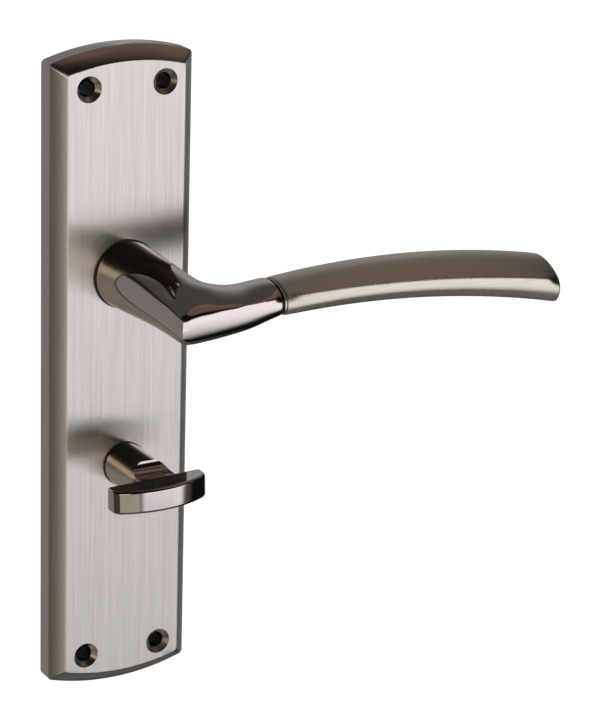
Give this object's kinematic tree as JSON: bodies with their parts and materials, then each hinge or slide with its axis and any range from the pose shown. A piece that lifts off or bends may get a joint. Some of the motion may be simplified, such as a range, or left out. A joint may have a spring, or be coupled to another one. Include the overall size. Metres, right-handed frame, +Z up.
{
  "type": "door lever handle",
  "caption": "Lever handle on a long arched backplate with a privacy turn below; sprung lever, quarter-turn knob, square spindles and screw-down holes.",
  "frame": {"origin": "on the lever spindle's axis at the door's surface", "axes": "+X along the lever arm towards its tip, +Y into the door along the spindle, +Z up along the backplate"},
  "size_m": [0.1425, 0.0825, 0.191],
  "materials": {
    "satin_nickel_plate": "brushed satin nickel plating with upright grain",
    "polished_dark_nickel": "polished dark nickel plating",
    "satin_nickel_grip": "satin nickel plating, lengthwise grain",
    "black_nylon": "moulded black nylon",
    "spring_steel": "oiled spring steel",
    "zinc_plated_steel": "bright zinc plating"
  },
  "bodies": {
    "plate": {"backplate": "satin_nickel_plate", "lever_bush": "black_nylon", "turn_bush": "black_nylon", "lever_return_spring": "spring_steel", "spring_cover": "zinc_plated_steel", "spring_cover_screws": "zinc_plated_steel", "turn_disc_spring": "spring_steel"},
    "lever": {"lever_neck": "polished_dark_nickel", "joint_ring": "black_nylon", "lever_grip": "satin_nickel_grip", "joint_stud": "zinc_plated_steel", "lever_spindle": "zinc_plated_steel", "spindle_grub_screw": "zinc_plated_steel", "lever_thrust_washer": "zinc_plated_steel", "spring_driver": "zinc_plated_steel", "lever_circlip": "spring_steel"},
    "turn": {"turn_knob": "polished_dark_nickel", "turn_spindle": "zinc_plated_steel", "turn_roll_pin": "spring_steel", "turn_flat_washer": "zinc_plated_steel", "turn_circlip": "spring_steel"}
  },
  "joints": [
    {"name": "lever_pivot", "type": "hinge", "parent": "plate", "child": "lever", "pos_m": [0, 0, 0], "axis": [0, 1, 0], "range_deg": [0, 45], "stiffness_Nm_per_rad": 0.9, "springref_deg": -20.05, "deforming": ["lever_return_spring"]},
    {"name": "turn_pivot", "type": "hinge", "parent": "plate", "child": "turn", "pos_m": [0, 0, -0.057], "axis": [0, 1, 0], "range_deg": [0, 90]}
  ]
}
